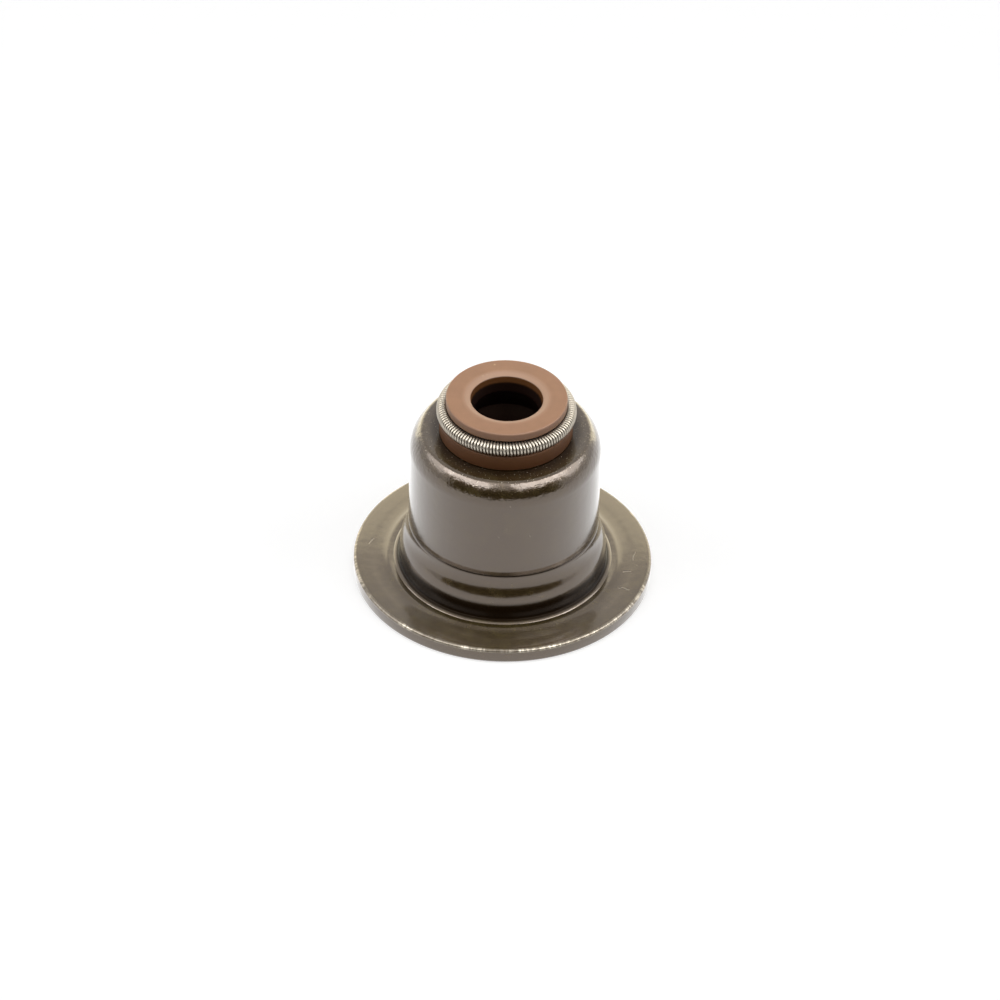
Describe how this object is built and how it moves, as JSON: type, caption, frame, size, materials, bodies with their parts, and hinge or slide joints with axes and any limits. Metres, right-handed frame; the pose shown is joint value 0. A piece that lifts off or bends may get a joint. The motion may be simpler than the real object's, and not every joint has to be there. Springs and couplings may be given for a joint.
{
  "type": "valve stem seal",
  "caption": "Valve stem seal with a flanged steel case as the valve spring's seat, a rubber lip round the stem and a garter spring.",
  "frame": {"origin": "on the seal's axis, in the plane of the flange's underside", "axes": "+Z along the axis, from the flange towards the seal's lip"},
  "size_m": [0.031, 0.031, 0.0224],
  "materials": {
    "coated_steel": "glossy dark olive brown coat on drawn steel",
    "brown_rubber": "satin moulded rubber, terracotta brown",
    "spring_wire": "bright drawn stainless wire"
  },
  "bodies": {
    "root": {"steel_case": "coated_steel", "rubber_seal": "brown_rubber", "garter_spring": "spring_wire"}
  },
  "joints": []
}
